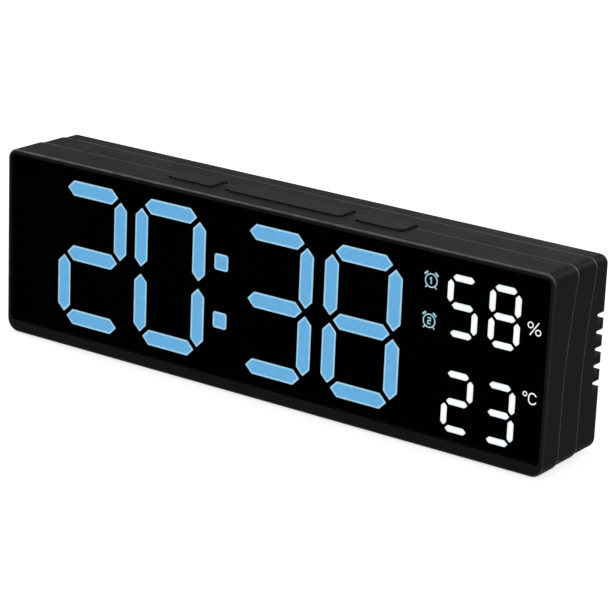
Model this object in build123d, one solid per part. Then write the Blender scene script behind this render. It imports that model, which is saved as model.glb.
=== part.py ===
from build123d import *
import math
import os

# Digital LED desk clock: a wide black case with a smoked front, three keys in its top
# and a vented rear corner. X runs to the viewer's right, Y away from the viewer and Z up.
# The origin is on the table under the middle of the case. Lengths are in millimetres.

# Case shells
case_width = 238.4
case_height = 71.7
case_depth = 37.3
wall = 2.0
back_wall = 2.2
top_corner_radius = 4.0
bottom_corner_radius = 5.0
least_radius = 0.4
front_edge_radius = 0.75
rear_edge_radius = 2.0
tier_step = 0.4
front_tier_depth = 12.3
middle_tier_depth = 25.2
tier_curve_height = 18.8
tier_curve_radius = 220.0
lip_length = 1.5
lip_thickness = 1.0
fit_gap = 0.1
overrun = 1.0

# Vents through the right rear corner
vent_count = 5
vent_height = 2.1
vent_flare = 0.7
vent_pitch = 6.15
vent_rise = 1.25
vent_side_reach = 5.8
vent_back_reach = 16.0

# Feet
foot_proud = 0.5
foot_recess = 0.8
foot_length = 14.0
foot_depth = 6.0
foot_corner_radius = 1.5
foot_inset = 24.2
front_foot_depth = 5.3
rear_foot_inset = 7.8

# Lens, its seat and its tape
lens_thickness = 1.5
lens_side_rim = 1.9
lens_top_rim = 1.9
lens_bottom_rim = 4.7
lens_corner_radius = 1.5
tape_thickness = 0.2
tape_margin = 0.2
ledge_width = 1.6
ledge_thickness = 1.3

# Display: mask, bars, light box and board
mask_gap = 0.1
mask_thickness = 0.8
inlay_gap = 0.04
light_box_depth = 7.0
light_box_top_trim = 1.4
light_box_bottom_trim = 0.2
flange_width = 1.2
flange_thickness = 1.5
chamber_rest = 0.4
board_thickness = 1.6
board_trim = 0.5

# Figures of the display, which fill the window between their margins
digit_top_margin = 3.65
digit_bottom_margin = 2.35
digit_gap = 4.15
digit_stroke = 5.8
digit_tip_gap = 1.35
digit_rounding = 0.2
small_digit_gap = 4.35
small_digit_stroke = 2.3
small_digit_tip_gap = 0.75
small_digit_upright_gap = 0.95
small_digit_rounding = 0.2
colon_dot = 6.1
colon_rounding = 1.0

# Places along the row as shares of the window's half width
hour_tens_share = -0.683
hour_units_share = -0.367
colon_share = -0.164
minute_tens_share = 0.044
minute_units_share = 0.366
alarm_share = 0.605
small_tens_share = 0.717
small_units_share = 0.861

# Heights from the digits' middle as shares of a digit's height
small_height_share = 0.394
humidity_share = 0.321
temperature_share = -0.363
colon_rise_shares = (0.211, -0.225)
alarm_rise_shares = (0.455, 0.169)
percent_rise_share = 0.295
celsius_rise_share = -0.192

# Signs of the display
sign_right_margin = 1.7
alarm_radius = 2.55
alarm_stroke = 0.4
alarm_bell_length = 1.8
alarm_bell_stroke = 0.65
alarm_bell_gap = 0.4
alarm_foot_length = 1.2
alarm_side_angle = 40.0
alarm_figure_width = 1.4
alarm_figure_height = 2.5
alarm_figure_stroke = 0.4
alarm_figure_rounding = 0.12
percent_width = 5.4
percent_height = 4.5
percent_slash_length = 5.9
percent_slash_angle = 56.0
percent_ring_radius = 1.15
percent_stroke = 0.36
degree_radius = 0.9
degree_stroke = 0.32
degree_gap = 0.45
celsius_height = 4.25
celsius_width = 3.3
celsius_stroke = 0.42
celsius_mouth = 1.9
sign_margin = 0.4

# LEDs
led_width = 3.4
led_height = 2.6
small_led_width = 1.6
small_led_height = 0.8
led_thickness = 0.8
led_spread_share = 0.25

# Bosses, towers and case screws
boss_radius = 2.6
boss_inset = 4.2
boss_room = 0.3
boss_rib = 1.2
boss_rib_depth = 4.2
pilot_depth = 7.4
tower_radius = 3.5
tower_floor = 6.0
screw_radius = 1.2
screw_bite = 7.0
screw_head_radius = 2.4
screw_head_height = 1.9
screw_gap = 0.05
screw_bore_gap = 0.15
screw_slot_width = 0.8
screw_slot_depth = 0.7

# Board screws
board_screw_radius = 1.0
board_screw_bite = 5.0
board_screw_head_radius = 1.9
board_screw_head_height = 1.3
board_screw_inset = 10.7
board_screw_left_rise = 15.0
board_screw_right_drop = 14.0

# Keys and their switches
key_row_x = 1.7
snooze_width = 50.5
side_key_width = 20.0
key_spacing = 6.0
key_front_depth = 8.6
key_rear_gap = 0.32
key_proud = 0.7
key_corner_radius = 3.0
key_edge_radius = 0.4
key_gap = 0.25
key_flange = 0.8
key_flange_thickness = 1.2
key_rest_gap = 0.05
key_travel = 0.5
key_stem_radius = 1.6
plunger_drop = 5.8
plunger_width = 2.8
plunger_depth = 1.6
plunger_proud = 1.2
plunger_hidden = 1.8
plunger_gap = 0.1
switch_width = 6.2
switch_depth = 3.5
switch_height = 4.6

# Parts on the board's back, with their places along the row as shares of the window's half width
control_chip_size = (18.0, 10.0, 2.0)
control_chip_share = 0.156
driver_chip_size = (10.0, 6.0, 1.7)
driver_chip_shares = (-0.311, 0.346)
crystal_radius = 1.5
crystal_length = 6.0
crystal_share = 0.285
crystal_rise = -9.0
capacitor_radius = 3.2
capacitor_length = 8.0
capacitor_share = 0.475
capacitor_rises = (-9.0, 9.0)
buzzer_radius = 6.0
buzzer_height = 7.5
buzzer_vent_radius = 1.0
buzzer_share = 0.76
buzzer_rise = 9.0
sound_hole_radius = 0.8
sound_hole_ring = 3.6
sound_hole_count = 6

# Backup cells, their bay and its door
cell_radius = 5.25
cell_length = 44.5
cell_nub_radius = 1.9
cell_nub_length = 0.8
cell_gap = 0.4
bay_share = -0.45
bay_wall = 1.5
contact_room = 1.6
contact_thickness = 0.4
contact_margin = 1.2
contact_tab_width = 2.0
contact_tab_share = 0.34
contact_bump_radius = 1.5
door_ledge = 1.3
door_screw_room = 7.5
door_thickness = 1.8
door_gap = 0.2
door_corner_radius = 1.5
door_ridge_count = 5
door_ridge_pitch = 2.2
door_ridge_width = 1.0
door_ridge_depth = 0.5
door_screw_radius = 1.0
door_screw_bite = 5.0
door_screw_head_radius = 1.9
door_screw_head_height = 1.0

# Power socket
socket_share = 0.57
socket_height = 14.0
socket_width = 9.0
socket_length = 10.5
socket_collar_radius = 3.9
socket_bore_radius = 2.85
socket_bore_depth = 9.5
socket_pin_radius = 1.0
socket_pin_short = 1.5
cradle_wall = 1.5

# Climate sensor
sensor_board_height = 14.0
sensor_board_thickness = 1.0
sensor_front_gap = 6.0
sensor_vent_gap = 2.5
sensor_standoff = 3.6
sensor_chip_size = 3.0
sensor_chip_thickness = 1.1
shelf_width = 6.0
shelf_thickness = 2.5
shelf_groove = 0.8

# Inner leads
lead_radius = 0.7
lead_spacing = 2.6
lead_rise = 7.0
lead_bend = 3.0
lead_hold = 3.0
lead_shift = 5.0
lead_run_share = 0.26
lead_turn_share = 0.85
ribbon_width = 5.0
ribbon_thickness = 0.6
ribbon_reach = 6.0
ribbon_bend = 2.0

# Levels and depths that follow from the sizes
case_base = foot_proud
case_top = case_base + case_height
case_middle = (case_base + case_top) / 2
lens_width = case_width - 2 * lens_side_rim
lens_height = case_height - lens_top_rim - lens_bottom_rim
lens_middle = case_base + lens_bottom_rim + lens_height / 2
seat_depth = lens_thickness + tape_thickness
ledge_back = seat_depth + ledge_thickness
window_half = lens_width / 2 - ledge_width
window_low = lens_middle - lens_height / 2 + ledge_width
window_high = lens_middle + lens_height / 2 - ledge_width
mask_front = lens_thickness + mask_gap
mask_back = mask_front + mask_thickness
board_front = mask_back + light_box_depth
board_back = board_front + board_thickness
digit_height = window_high - window_low - digit_top_margin - digit_bottom_margin - digit_stroke
digit_z = window_low + digit_bottom_margin + (digit_stroke + digit_height) / 2
digit_pitch = window_half * (hour_units_share - hour_tens_share)
digit_width = digit_pitch - digit_stroke - digit_gap
small_digit_height = digit_height * small_height_share
small_digit_pitch = window_half * (small_units_share - small_tens_share)
small_digit_width = small_digit_pitch - small_digit_stroke - small_digit_gap
small_tens_x = window_half * small_tens_share
small_units_x = window_half * small_units_share
humidity_z = digit_z + digit_height * humidity_share
temperature_z = digit_z + digit_height * temperature_share
colon_x = window_half * colon_share
colon_zs = [digit_z + digit_height * share for share in colon_rise_shares]
alarm_x = window_half * alarm_share
alarm_zs = [digit_z + digit_height * share for share in alarm_rise_shares]
percent_x = window_half - sign_right_margin - percent_width / 2
percent_z = digit_z + digit_height * percent_rise_share
celsius_x = window_half - sign_right_margin - celsius_width / 2
celsius_z = digit_z + digit_height * celsius_rise_share
degree_x = celsius_x - celsius_width / 2 - degree_gap - degree_radius
degree_z = celsius_z + celsius_height / 2 - degree_radius
boss_far = window_half - boss_inset
boss_low = window_low + boss_inset
boss_high = window_high - boss_inset
boss_places = [(x, z) for x in (-boss_far, colon_x, boss_far) for z in (boss_low, boss_high)]
head_seat = board_back + tower_floor
rear_inset = 2 * tier_step
inner_back = case_depth - back_wall
key_pitch = (snooze_width + side_key_width) / 2 + key_spacing
key_table = {
    "left": (key_row_x - key_pitch, side_key_width),
    "snooze": (key_row_x, snooze_width),
    "right": (key_row_x + key_pitch, side_key_width),
}
switch_middle = board_back + switch_depth / 2
plunger_top = case_top - plunger_drop
switch_top = plunger_top - plunger_proud
buzzer_x = window_half * buzzer_share
bay_x = window_half * bay_share
bay_length = cell_length + 2 * contact_room
bay_height = 4 * cell_radius + 3 * cell_gap
door_seat = case_depth - door_thickness
bay_floor = door_seat - 2 * cell_radius - 2 * cell_gap
cell_depth = bay_floor + cell_gap + cell_radius
bay_room = bay_floor - bay_wall - board_back
cell_rise = cell_radius + cell_gap / 2
door_length = bay_length + door_ledge + door_screw_room
door_height = bay_height + 2 * door_ledge
door_x = bay_x + (door_screw_room - door_ledge) / 2
door_screw_x = bay_x + bay_length / 2 + door_screw_room / 2
socket_x = window_half * socket_share
socket_z = case_base + socket_height
socket_front = inner_back - socket_length
sensor_x = case_width / 2 - rear_inset - wall - sensor_standoff
sensor_start = board_back + sensor_front_gap
sensor_end = case_depth - vent_side_reach - sensor_vent_gap
sensor_middle = (sensor_start + sensor_end) / 2
board_screw_places = [
    (board_screw_inset - window_half, digit_z + board_screw_left_rise),
    (board_screw_inset - window_half, digit_z - board_screw_left_rise),
    (colon_x, sum(colon_zs) / 2),
    (alarm_x, digit_z - board_screw_right_drop),
]


def y_at(depth):
    """Y of a point that lies this deep behind the front face."""
    return depth - case_depth / 2


def slab(width, height, start, end, x=0, z=0):
    """Block between two depths, centred on x and z."""
    return Pos(x, y_at((start + end) / 2), z) * Box(width, end - start, height)


def rod(radius, start, end, x=0, z=0):
    """Round bar along Y between two depths."""
    return Pos(x, y_at((start + end) / 2), z) * Rot(90, 0, 0) * Cylinder(radius, end - start)


def prism(sketch, start, end):
    """Prism between two depths of a sketch drawn as the viewer sees it."""
    return extrude(Plane.XZ.offset(-y_at(start)) * sketch, amount=start - end)


def upright(sketch, low, high):
    """Prism between two heights of a sketch drawn as seen from above."""
    return extrude(Plane.XY.offset(low) * sketch, amount=high - low)


def case_outline(inset):
    """The case as seen from the front, drawn in all round by an inset."""
    outline = Pos(0, case_middle) * Rectangle(case_width - 2 * inset, case_height - 2 * inset)
    low_corners = outline.vertices().sort_by(Axis.Y)[:2]
    outline = fillet(low_corners, max(bottom_corner_radius - inset, least_radius))
    high_corners = outline.vertices().sort_by(Axis.Y)[-2:]
    return fillet(high_corners, max(top_corner_radius - inset, least_radius))


def lens_outline(inset):
    """The lens as seen from the front, drawn in all round by an inset."""
    radius = max(lens_corner_radius - inset, least_radius)
    return Pos(0, lens_middle) * RectangleRounded(lens_width - 2 * inset, lens_height - 2 * inset, radius)


def line_lean(height):
    """How far a tier line has leaned back at a height above its upright foot."""
    climb = height - case_base - tier_curve_height
    return tier_curve_radius - math.sqrt(tier_curve_radius**2 - climb**2)


def key_rear():
    """Depth of the keys' rear faces, just ahead of the rear shell's top wall."""
    return front_tier_depth + line_lean(case_top - rear_inset - wall) - key_rear_gap


def ahead_of(line_depth):
    """All the space in front of a tier line, which stands upright and then leans back on an arc."""
    low = case_base - overrun
    bend = case_base + tier_curve_height
    high = case_top + overrun
    front = y_at(-overrun)
    foot = (y_at(line_depth), low)
    knee = (y_at(line_depth), bend)
    head = (y_at(line_depth) + line_lean(high), high)
    outline = Line((front, low), foot) + Line(foot, knee) + TangentArc(knee, head, tangent=(0, 1))
    outline += Line(head, (front, high)) + Line((front, high), (front, low))
    return extrude(Plane.YZ * make_face(outline), amount=case_width / 2 + overrun, both=True)


def tier(inset, line_depth):
    """One tier of the case from the front face back to its line, with a rear rim that rolls inwards."""
    room = ahead_of(line_depth)
    block = prism(case_outline(inset), 0, case_depth) & room
    rear_faces = [face for face in block.faces() if face.normal_at().Y > 1 / 2]
    edges = [edge for face in rear_faces for edge in face.edges()]
    rim = [edge for edge in edges if sum(edge.is_same(other) for other in edges) == 1]
    roll_radius = min(top_corner_radius, bottom_corner_radius) - rear_inset
    return fillet(rim, roll_radius) + (prism(case_outline(inset + tier_step), 0, case_depth) & room)


def foot_places():
    """Middle, on the table, and underside level of each foot."""
    rear_depth = case_depth - rear_foot_inset
    for depth, level in ((front_foot_depth, case_base), (rear_depth, case_base + rear_inset)):
        for side in (-1, 1):
            yield side * (case_width / 2 - foot_inset), y_at(depth), level


def foot(x, y, level, grow):
    """A foot pad up to the floor of its recess, or with some growth the recess itself."""
    outline = RectangleRounded(foot_length + 2 * grow, foot_depth + 2 * grow, foot_corner_radius + grow)
    return upright(Pos(x, y) * outline, 0, level + foot_recess)


def make_front_frame():
    """Front shell: the front tier with the lens seat, its ledge, six bosses and the key notches."""
    frame = tier(0, front_tier_depth)
    frame = fillet(frame.faces().sort_by(Axis.Y)[0].edges(), front_edge_radius)
    frame -= prism(case_outline(wall), ledge_back, case_depth)
    frame -= prism(lens_outline(-fit_gap), -overrun, seat_depth)
    frame -= prism(lens_outline(ledge_width), -overrun, ledge_back + overrun)
    rib_end = ledge_back + boss_rib_depth
    for x, z in boss_places:
        wall_z = case_top - wall / 2 if z > case_middle else case_base + wall / 2
        frame += rod(boss_radius, ledge_back, board_back, x, z)
        frame += slab(boss_rib, abs(wall_z - z), ledge_back, rib_end, x, (wall_z + z) / 2)
        if x != colon_x:
            wall_x = math.copysign(case_width / 2 - wall / 2, x)
            frame += slab(abs(wall_x - x), boss_rib, ledge_back, rib_end, (wall_x + x) / 2, z)
    for x, z in boss_places:
        frame -= rod(screw_radius + screw_gap, board_back - pilot_depth, board_back + overrun, x, z)
    for x, width in key_table.values():
        notch_height = wall + 2 * overrun
        notch = (key_front_depth - key_gap, case_depth)
        frame -= slab(width + 2 * key_gap, notch_height, *notch, x, case_top - wall / 2)
    for place in foot_places():
        frame -= foot(*place, fit_gap)
    return frame


def make_lip():
    """Rim of the rear shell that reaches into the front shell, left out under the keys."""
    ring = prism(case_outline(wall + fit_gap), 0, case_depth)
    ring -= prism(case_outline(wall + fit_gap + lip_thickness), -overrun, case_depth + overrun)
    ring &= ahead_of(front_tier_depth + lip_thickness) - ahead_of(front_tier_depth - lip_length)
    for x, width in key_table.values():
        room = width + 2 * (key_flange + key_gap)
        ring -= slab(room, case_height, 0, case_depth, x, case_top)
    return ring


def make_bay():
    """Outside of the battery bay, from its floor to the middle of the back wall."""
    grow = 2 * (door_gap + bay_wall)
    return slab(door_length + grow, door_height + grow, bay_floor - bay_wall, case_depth - back_wall / 2,
                door_x, case_middle)


def sensor_plate(grow):
    """The sensor's board, which stands along the right wall, with some growth all round."""
    width = sensor_board_thickness + 2 * grow
    height = sensor_board_height + 2 * grow
    return slab(width, height, sensor_start - grow, sensor_end + grow, sensor_x, case_middle)


def make_shelves():
    """Two grooved shelves on the right wall that hold the sensor's board."""
    wall_x = case_width / 2 - rear_inset - wall / 2
    rise = sensor_board_height / 2 - shelf_groove + shelf_thickness / 2
    ends = (sensor_start + fit_gap, sensor_end - fit_gap)
    shelves = [
        slab(shelf_width, shelf_thickness, *ends, wall_x - shelf_width / 2, case_middle + side * rise)
        for side in (-1, 1)
    ]
    return shelves[0] + shelves[1] - sensor_plate(fit_gap)


def make_cradle():
    """Walls on the back that hold the power socket at its sides and its inner end."""
    width = socket_width + 2 * (fit_gap + cradle_wall)
    start = socket_front - fit_gap - cradle_wall
    cradle = slab(width, socket_width, start, case_depth - back_wall / 2, socket_x, socket_z)
    pocket_width = socket_width + 2 * fit_gap
    return cradle - slab(pocket_width, case_height, socket_front - fit_gap, inner_back, socket_x, socket_z)


def contact_tabs(grow):
    """Tabs of the two outer battery contacts, which pass through the bay's floor."""
    x = bay_x - bay_length / 2 + contact_thickness / 2
    start = bay_floor - bay_wall - bay_room * contact_tab_share
    width = contact_thickness + 2 * grow
    return [
        slab(width, contact_tab_width + 2 * grow, start, bay_floor, x, case_middle + side * cell_rise)
        for side in (-1, 1)
    ]


def sound_hole_places():
    """Middles of the sound holes: one and a ring round it."""
    middle_z = case_middle + buzzer_rise
    yield buzzer_x, middle_z
    for number in range(sound_hole_count):
        angle = math.tau * number / sound_hole_count
        yield buzzer_x + sound_hole_ring * math.cos(angle), middle_z + sound_hole_ring * math.sin(angle)


def vent_cut(z):
    """Cut for one vent: a slot round the rear corner, flared where it comes out at the side and the back."""
    start = case_depth - vent_side_reach
    end = case_depth + overrun
    inner_x = case_width / 2 - vent_back_reach
    width = vent_back_reach + overrun
    mouth = RegularPolygon(vent_height / 2 + vent_flare, 4)
    slot = slab(width, vent_height, start, end, inner_x + width / 2, z)
    slot += prism(Pos(case_width / 2 - rear_inset, z) * mouth, start, end)
    return slot + extrude(Plane.YZ.offset(inner_x) * Pos(y_at(case_depth), z) * mouth, amount=width)


def make_rear_case():
    """Rear shell: the middle and rear tiers, towers for the screws, bay, cradle, shelves and vents."""
    rear = prism(case_outline(rear_inset), 0, case_depth)
    rear = fillet(rear.faces().sort_by(Axis.Y)[-1].edges(), rear_edge_radius)
    shell = tier(tier_step, middle_tier_depth) + rear - ahead_of(front_tier_depth)
    shell -= prism(case_outline(rear_inset + wall), 0, inner_back)
    shell += make_lip()
    for x, z in boss_places:
        shell += rod(tower_radius, board_back, case_depth - back_wall / 2, x, z)
    shell += make_bay()
    shell += make_cradle()
    shell += make_shelves()
    for x, z in boss_places:
        shell -= rod(screw_radius + screw_bore_gap, board_back - overrun, head_seat + overrun, x, z)
        shell -= rod(screw_head_radius + screw_bore_gap, head_seat, case_depth + overrun, x, z)
    recess = RectangleRounded(door_length + 2 * door_gap, door_height + 2 * door_gap,
                              door_corner_radius + door_gap)
    shell -= prism(Pos(door_x, case_middle) * recess, door_seat, case_depth + overrun)
    shell -= slab(bay_length, bay_height, bay_floor, door_seat + overrun, bay_x, case_middle)
    screw_hole = (door_seat - door_screw_bite - screw_gap, door_seat + overrun)
    shell -= rod(door_screw_radius + screw_gap, *screw_hole, door_screw_x, case_middle)
    for slot in contact_tabs(fit_gap):
        shell -= slot
    through_back = (inner_back - overrun, case_depth + overrun)
    shell -= rod(socket_collar_radius + fit_gap, *through_back, socket_x, socket_z)
    for x, z in sound_hole_places():
        shell -= rod(sound_hole_radius, *through_back, x, z)
    for number in range(vent_count):
        shell -= vent_cut(case_middle + vent_rise + (number - (vent_count - 1) / 2) * vent_pitch)
    for place in foot_places():
        shell -= foot(*place, fit_gap)
    return shell


def make_lens():
    """Flat smoked front."""
    return prism(lens_outline(0), 0, lens_thickness)


def make_tape():
    """Adhesive frame between the lens and its ledge."""
    ring = lens_outline(tape_margin) - lens_outline(ledge_width - tape_margin)
    return prism(ring, lens_thickness, seat_depth)


# Middle of each bar as shares of the figure's width and height, and whether the bar stands
segment_shares = {
    "a": (0, 1 / 2, False),
    "b": (1 / 2, 1 / 4, True),
    "c": (1 / 2, -1 / 4, True),
    "d": (0, -1 / 2, False),
    "e": (-1 / 2, -1 / 4, True),
    "f": (-1 / 2, 1 / 4, True),
    "g": (0, 0, False),
}
lit_bars = {"0": "abcdef", "2": "abged", "3": "abgcd", "5": "afgcd", "8": "abcdefg"}
big_figure = (digit_width, digit_height, digit_stroke, digit_tip_gap, digit_tip_gap, digit_rounding)
small_figure = (small_digit_width, small_digit_height, small_digit_stroke, small_digit_tip_gap,
                small_digit_upright_gap, small_digit_rounding)
readouts = {
    "hour_tens_segments": [("2", window_half * hour_tens_share, digit_z, big_figure)],
    "hour_units_segments": [("0", window_half * hour_units_share, digit_z, big_figure)],
    "minute_tens_segments": [("3", window_half * minute_tens_share, digit_z, big_figure)],
    "minute_units_segments": [("8", window_half * minute_units_share, digit_z, big_figure)],
    "humidity_segments": [
        ("5", small_tens_x, humidity_z, small_figure),
        ("8", small_units_x, humidity_z, small_figure),
    ],
    "temperature_segments": [
        ("2", small_tens_x, temperature_z, small_figure),
        ("3", small_units_x, temperature_z, small_figure),
    ],
}


def bar(length, stroke, rounding):
    """Lying bar with pointed ends, slightly rounded."""
    half = length / 2
    shoulder = half - stroke / 2
    right = [(shoulder, -stroke / 2), (half, 0), (shoulder, stroke / 2)]
    left = [(-shoulder, stroke / 2), (-half, 0), (-shoulder, -stroke / 2)]
    return fillet(Polygon(*right, *left, align=None).vertices(), rounding)


def figure_bars(x, z, figure_size):
    """Each bar of a figure by its letter: its sketch, its chamber's sketch and the middles of its LEDs."""
    width, height, stroke, tip_gap, upright_gap, rounding = figure_size
    bars = {}
    for letter, (x_share, z_share, stands) in segment_shares.items():
        length = height / 2 - 2 * upright_gap if stands else width - 2 * tip_gap
        middle = (x + x_share * width, z + z_share * height)
        spread = length * led_spread_share
        along = (0, spread) if stands else (spread, 0)
        leds = [(middle[0] + side * along[0], middle[1] + side * along[1]) for side in (-1, 1)]
        place = Pos(*middle) * Rot(0, 0, 90 if stands else 0)
        sketch = place * bar(length, stroke, rounding)
        chamber_length = length - 2 * math.sqrt(2) * chamber_rest
        chamber = place * bar(chamber_length, stroke - 2 * chamber_rest, rounding)
        bars[letter] = (sketch, chamber, leds if stroke == digit_stroke else [middle])
    return bars


def ring(radius, stroke):
    """Round outline with a stroke inside its radius."""
    return Circle(radius) - Circle(radius - stroke)


def figure_one():
    """Small upright one with its flag."""
    half = alarm_figure_height / 2
    stroke = alarm_figure_stroke
    left = -alarm_figure_width / 2
    drop = half - alarm_figure_width / 2
    flag_end = [(left, drop + stroke / 2), (left, drop - stroke / 2)]
    flag = Polygon((stroke / 2, half), *flag_end, (0, half - stroke), align=None)
    return Rectangle(stroke, alarm_figure_height) + flag


def figure_two():
    """Small two with square turns, slightly rounded."""
    right = alarm_figure_width / 2
    high = alarm_figure_height / 2
    stroke = alarm_figure_stroke
    head = [(-right, high - stroke), (right - stroke, high - stroke), (right - stroke, stroke / 2)]
    left = [(-right, stroke / 2), (-right, -high), (right, -high), (right, stroke - high)]
    neck = [(stroke - right, stroke - high), (stroke - right, -stroke / 2), (right, -stroke / 2)]
    top = [(right, high), (-right, high)]
    return fillet(Polygon(*head, *left, *neck, *top, align=None).vertices(), alarm_figure_rounding)


def alarm_icon(figure):
    """Alarm clock sign: a ring on two feet with two bells, and the alarm's number inside."""
    clock = ring(alarm_radius, alarm_stroke)
    foot_reach = alarm_radius + alarm_foot_length / 2 - alarm_stroke / 2
    bell_reach = alarm_radius + alarm_bell_gap + alarm_bell_stroke / 2
    bell = Pos(0, bell_reach) * SlotOverall(alarm_bell_length, alarm_bell_stroke)
    bells = []
    for side in (-1, 1):
        turn = Rot(0, 0, side * alarm_side_angle)
        clock += turn * Pos(0, -foot_reach) * Rectangle(alarm_stroke, alarm_foot_length)
        bells.append(turn * bell)
    return [clock, *bells, figure]


def percent_parts():
    """Percent sign: two rings and a slash."""
    x = percent_width / 2 - percent_ring_radius
    z = percent_height / 2 - percent_ring_radius
    slash = Rot(0, 0, percent_slash_angle) * SlotOverall(percent_slash_length, percent_stroke)
    mark = ring(percent_ring_radius, percent_stroke)
    return [Pos(-x, z) * mark, Pos(x, -z) * mark, slash]


def celsius_letter():
    """Upright C: a tall ring, open to the right."""
    inner_height = celsius_height - 2 * celsius_stroke
    inner_width = celsius_width - 2 * celsius_stroke
    tall_ring = SlotOverall(celsius_height, celsius_width) - SlotOverall(inner_height, inner_width)
    mouth = Pos(celsius_width / 2, 0) * Rectangle(celsius_width, celsius_mouth)
    return Rot(0, 0, 90) * tall_ring - mouth


def moved(sketches, x, z):
    """The same sketches at another place."""
    return [Pos(x, z) * sketch for sketch in sketches]


def sign_table():
    """Sketches of each sign's node, and the chamber sketch and LED's place behind each sign."""
    dot = RectangleRounded(colon_dot, colon_dot, colon_rounding)
    signs = {"colon_dots": [], "alarm_icons": [], "percent_sign": [], "degree_sign": []}
    chambers = []
    for z in colon_zs:
        place = (colon_x, z)
        signs["colon_dots"] += moved([dot], *place)
        chambers.append((Pos(*place) * offset(dot, -chamber_rest), place))
    alarm_room = Circle(alarm_radius + alarm_bell_gap + alarm_bell_stroke + sign_margin)
    for z, figure in zip(alarm_zs, (figure_one(), figure_two())):
        place = (alarm_x, z)
        signs["alarm_icons"] += moved(alarm_icon(figure), *place)
        chambers.append((Pos(*place) * alarm_room, place))
    percent_place = (percent_x, percent_z)
    signs["percent_sign"] = moved(percent_parts(), *percent_place)
    percent_room = Rectangle(percent_width + sign_margin, percent_height + sign_margin)
    chambers.append((Pos(*percent_place) * percent_room, percent_place))
    signs["degree_sign"] = moved([ring(degree_radius, degree_stroke)], degree_x, degree_z)
    signs["degree_sign"] += moved([celsius_letter()], celsius_x, celsius_z)
    room_left = degree_x - degree_radius - sign_margin
    room_right = celsius_x + celsius_width / 2 + sign_margin
    celsius_room = Rectangle(room_right - room_left, celsius_height + 2 * sign_margin)
    celsius_place = ((room_left + room_right) / 2, celsius_z)
    chambers.append((Pos(*celsius_place) * celsius_room, celsius_place))
    return signs, chambers


def boss_clearances(start, end):
    """Notches that let the bosses and their ribs pass, open to the nearest edges."""
    half = boss_radius + boss_room
    cuts = []
    for x, z in boss_places:
        low_z, high_z = (z - half, case_top) if z > case_middle else (case_base, z + half)
        low_x, high_x = x - half, x + half
        if x == boss_far:
            high_x = case_width / 2
        elif x == -boss_far:
            low_x = -case_width / 2
        cuts.append(slab(high_x - low_x, high_z - low_z, start, end, (low_x + high_x) / 2,
                         (low_z + high_z) / 2))
    return cuts


def make_display():
    """The mask, every lit and unlit bar and sign, the light box, the board and the LEDs."""
    nodes = {name: [] for name in readouts}
    nodes["unlit_segments"] = []
    inlays = []
    chambers = []
    big_leds = []
    small_leds = []
    for name, figures in readouts.items():
        for figure, x, z, figure_size in figures:
            for letter, (sketch, chamber, leds) in figure_bars(x, z, figure_size).items():
                home = name if letter in lit_bars[figure] else "unlit_segments"
                nodes[home].append(prism(sketch, mask_front, mask_back))
                inlays.append(sketch)
                chambers.append(chamber)
                stands = segment_shares[letter][2]
                led_list = big_leds if figure_size is big_figure else small_leds
                led_list.extend((led, stands) for led in leds)
    signs, sign_chambers = sign_table()
    for name, sketches in signs.items():
        nodes[name] = [prism(sketch, mask_front, mask_back) for sketch in sketches]
        inlays += sketches
    for chamber, place in sign_chambers:
        chambers.append(chamber)
        small_leds.append((place, False))

    sheet = lens_outline(ledge_width + fit_gap) - [offset(sketch, inlay_gap) for sketch in inlays]
    nodes["display_mask"] = prism(sheet, mask_front, mask_back).solids()

    body_low = window_low + light_box_bottom_trim
    body_high = window_high - light_box_top_trim
    body_height = body_high - body_low
    body_middle = (body_high + body_low) / 2
    box = slab(2 * (window_half - fit_gap), body_height, mask_back, board_front, 0, body_middle)
    box += prism(lens_outline(ledge_width - flange_width), ledge_back, ledge_back + flange_thickness)
    cuts = boss_clearances(mask_back - overrun, board_front + overrun)
    cuts += [prism(chamber, mask_back - overrun, board_front + overrun) for chamber in chambers]
    pilot = (board_front - board_screw_bite - screw_gap, board_front + overrun)
    cuts += [rod(board_screw_radius + screw_gap, *pilot, x, z) for x, z in board_screw_places]
    nodes["light_box"] = (box - cuts).solids()

    board = slab(2 * (window_half - board_trim), body_height, board_front, board_back, 0, body_middle)
    cuts = boss_clearances(board_front - overrun, board_back + overrun)
    hole = (board_screw_radius + screw_bore_gap, board_front - overrun, board_back + overrun)
    cuts += [rod(*hole, x, z) for x, z in board_screw_places]
    nodes["display_board"] = (board - cuts).solids()

    nodes["segment_leds"] = []
    for places, width, height in (
        (big_leds, led_width, led_height),
        (small_leds, small_led_width, small_led_height),
    ):
        for (x, z), stands in places:
            size = (height, width) if stands else (width, height)
            nodes["segment_leds"].append(slab(*size, board_front - led_thickness, board_front, x, z))
    return nodes


def make_key(x, width):
    """One key: a cap with rounded front corners, a flange under the top wall and a stem to its switch."""
    middle = Pos(x, y_at((key_front_depth + key_rear()) / 2))
    plan = middle * Rectangle(width, key_rear() - key_front_depth)
    plan = fillet(plan.vertices().sort_by(Axis.Y)[:2], key_corner_radius)
    flange_top = case_top - wall - key_rest_gap
    flange_low = flange_top - key_flange_thickness
    cap = upright(plan, flange_low, case_top + key_proud)
    cap = fillet(cap.faces().sort_by(Axis.Z)[-1].edges(), key_edge_radius)
    flange = slab(width + 2 * key_flange, key_flange_thickness, key_front_depth - key_flange, key_rear(),
                  x, (flange_top + flange_low) / 2)
    stem = upright(Pos(x, y_at(switch_middle)) * Circle(key_stem_radius), plunger_top, flange_low)
    return cap + flange + stem


def make_plunger(x):
    """Push switch plunger, from inside its housing up to the key's stem."""
    low = switch_top - plunger_hidden
    return upright(Pos(x, y_at(switch_middle)) * Rectangle(plunger_width, plunger_depth), low, plunger_top)


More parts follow.
